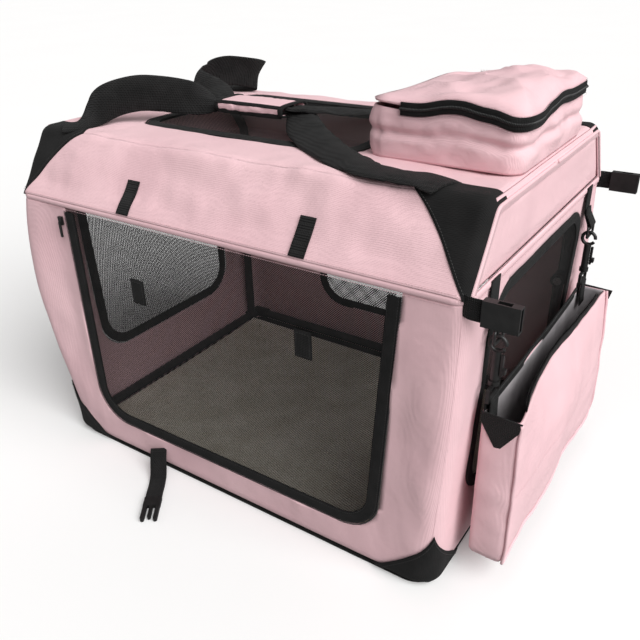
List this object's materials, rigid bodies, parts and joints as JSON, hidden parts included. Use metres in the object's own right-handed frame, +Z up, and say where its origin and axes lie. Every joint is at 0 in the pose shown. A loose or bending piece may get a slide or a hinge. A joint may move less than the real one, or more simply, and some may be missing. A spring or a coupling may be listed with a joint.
{
  "type": "folding soft pet carrier",
  "caption": "Folding soft pet carrier: knee-jointed tube frame in a fabric cover, mesh doors and windows, roof pouch, hooked-on side bag and carrying handles.",
  "frame": {"origin": "middle of the base, on the ground", "axes": "+X along the carrier towards the end with the side bag, +Y towards the back, +Z up; the big door faces -Y"},
  "size_m": [0.7523, 0.7146, 0.589],
  "materials": {
    "pink_fabric": "plain weave polyester, slight sheen",
    "black_fabric": "plain weave polyester",
    "black_mesh": "open knitted mesh",
    "black_webbing": "ribbed polypropylene webbing",
    "zip_tape": "coil zip on woven tape",
    "black_plastic": "moulded acetal, satin",
    "black_steel": "black powder coat on steel tube",
    "bright_steel": "plated",
    "mat_fleece": "short fleece over thin wadding",
    "floor_board": "pressed fibreboard"
  },
  "bodies": {
    "base": {"floor_cover": "black_fabric", "floor_board": "floor_board", "floor_mat": "mat_fleece", "base_long_rails": "black_steel", "base_end_rails": "black_steel", "base_elbows": "black_plastic", "front_wall": "pink_fabric", "back_wall": "pink_fabric", "left_wall": "pink_fabric", "right_wall": "pink_fabric", "back_window_binding": "black_fabric", "back_window_mesh": "black_mesh", "right_window_binding": "black_fabric", "right_window_mesh": "black_mesh", "bottom_corner_patches": "black_fabric"},
    "right_lower": {"right_lower_legs": "black_steel", "right_knee_pins": "bright_steel"},
    "right_upper": {"right_hoop": "black_steel"},
    "left_lower": {"left_lower_legs": "black_steel", "left_knee_pins": "bright_steel"},
    "left_upper": {"left_hoop": "black_steel"},
    "roof": {"roof_rails": "black_steel", "rail_clips": "black_plastic", "roof_panel": "pink_fabric", "front_shoulder": "pink_fabric", "back_shoulder": "pink_fabric", "gables": "pink_fabric", "top_corner_patches": "black_fabric", "pouch_body": "pink_fabric", "pouch_zip": "zip_tape"},
    "ridge": {"ridge_seam_long": "black_fabric", "ridge_seam_ends": "black_fabric", "rollup_straps": "black_fabric", "buckle_tabs": "black_webbing", "female_buckles": "black_plastic"},
    "front_door": {"front_door_binding": "black_fabric", "front_door_mesh": "black_mesh", "front_door_pads": "black_fabric"},
    "left_door": {"left_door_binding": "black_fabric", "left_door_mesh": "black_mesh"},
    "roof_door": {"roof_door_binding": "black_fabric", "roof_door_mesh": "black_mesh"},
    "zip_slider": {"front_zip_slider": "bright_steel"},
    "bag_hangers": {"bag_hanger_tabs": "black_webbing", "d_rings": "black_plastic"},
    "side_bag": {"snap_hooks": "black_plastic", "snap_swivels": "black_plastic", "side_bag": "pink_fabric", "side_bag_zip_tapes": "zip_tape", "side_bag_loops": "black_webbing"},
    "front_trigger": {"snap_trigger_front": "black_plastic"},
    "back_trigger": {"snap_trigger_back": "black_plastic"},
    "pouch_lid": {"pouch_lid": "pink_fabric"},
    "handles": {"front_handle": "black_webbing", "back_handle": "black_webbing", "grip_wrap": "pink_fabric"},
    "front_strap": {"front_strap": "black_webbing", "front_strap_buckle": "black_plastic"},
    "back_strap": {"back_strap": "black_webbing", "back_strap_buckle": "black_plastic"}
  },
  "joints": [
    {"name": "frame_fold", "type": "hinge", "parent": "base", "child": "right_lower", "pos_m": [0.32, 0, 0.014], "axis": [0, -1, 0], "range_deg": [0, 84], "deforming": ["front_wall", "back_wall", "left_wall", "right_wall", "back_window_binding", "back_window_mesh", "right_window_binding", "right_window_mesh", "front_shoulder", "back_shoulder", "gables", "front_door_binding", "front_door_mesh", "front_door_pads", "left_door_binding", "left_door_mesh", "bottom_corner_patches", "top_corner_patches", "bag_hanger_tabs"]},
    {"name": "right_knee", "type": "hinge", "parent": "right_lower", "child": "right_upper", "pos_m": [0.32, 0, 0.2495], "axis": [0, -1, 0], "range_deg": [-168, 0]},
    {"name": "right_top_pivot", "type": "hinge", "parent": "right_upper", "child": "roof", "pos_m": [0.32, 0, 0.485], "axis": [0, -1, 0], "range_deg": [0, 84]},
    {"name": "left_leg_fold", "type": "hinge", "parent": "base", "child": "left_lower", "pos_m": [-0.32, 0, 0.014], "axis": [0, -1, 0], "range_deg": [-84, 0]},
    {"name": "left_knee", "type": "hinge", "parent": "left_lower", "child": "left_upper", "pos_m": [-0.32, 0, 0.2495], "axis": [0, -1, 0], "range_deg": [0, 168]},
    {"name": "ridge_rise", "type": "slide", "parent": "roof", "child": "ridge", "axis": [0, 0, 1], "range_m": [0, 0.0675]},
    {"name": "front_door_hinge", "type": "hinge", "parent": "ridge", "child": "front_door", "pos_m": [0, -0.2485, 0.4038], "axis": [1, 0, 0], "range_deg": [-110, 0]},
    {"name": "left_door_hinge", "type": "hinge", "parent": "ridge", "child": "left_door", "pos_m": [-0.34827, 0, 0.4038], "axis": [0, -1, 0], "range_deg": [-110, 0]},
    {"name": "roof_door_hinge", "type": "hinge", "parent": "roof", "child": "roof_door", "pos_m": [0, 0.1447, 0.4985], "axis": [-1, 0, 0], "range_deg": [-88, 0]},
    {"name": "zip_slider_travel", "type": "slide", "parent": "ridge", "child": "zip_slider", "axis": [0, 0, 1], "range_m": [-0.29, 0]},
    {"name": "bag_hanger_swing", "type": "hinge", "parent": "ridge", "child": "bag_hangers", "pos_m": [0.351, 0, 0.408], "axis": [0, -1, 0], "range_deg": [0, 84]},
    {"name": "side_bag_swing", "type": "hinge", "parent": "bag_hangers", "child": "side_bag", "pos_m": [0.361, 0, 0.3425], "axis": [0, 1, 0], "range_deg": [-50, 0]},
    {"name": "front_trigger_pull", "type": "slide", "parent": "side_bag", "child": "front_trigger", "axis": [0, 0, -1], "range_m": [0, 0.004], "stiffness_N_per_m": 250, "springref_m": -0.002},
    {"name": "back_trigger_pull", "type": "slide", "parent": "side_bag", "child": "back_trigger", "axis": [0, 0, -1], "range_m": [0, 0.004], "stiffness_N_per_m": 250, "springref_m": -0.002},
    {"name": "pouch_lid_hinge", "type": "hinge", "parent": "roof", "child": "pouch_lid", "pos_m": [0.157, 0, 0.558], "axis": [0, -1, 0], "range_deg": [0, 75]},
    {"name": "handle_lift", "type": "slide", "parent": "roof", "child": "handles", "axis": [0, 0, 1], "range_m": [0, 0.08], "deforming": ["front_handle", "back_handle"]},
    {"name": "front_strap_lift", "type": "hinge", "parent": "base", "child": "front_strap", "pos_m": [-0.126, -0.2595, 0.034], "axis": [-0.811, -0.585, 0], "range_deg": [0, 80]},
    {"name": "back_strap_lift", "type": "hinge", "parent": "base", "child": "back_strap", "pos_m": [-0.126, 0.2595, 0.034], "axis": [0.811, -0.585, 0], "range_deg": [0, 80]}
  ],
  "couplings": [
    {"joint": "right_knee", "follows": "frame_fold", "ratio": -2},
    {"joint": "right_top_pivot", "follows": "frame_fold", "ratio": 1},
    {"joint": "left_leg_fold", "follows": "frame_fold", "ratio": -1},
    {"joint": "left_knee", "follows": "frame_fold", "ratio": 2},
    {"joint": "ridge_rise", "follows": "frame_fold", "m_per_rad": 0.0457},
    {"joint": "bag_hanger_swing", "follows": "frame_fold", "ratio": 1}
  ]
}
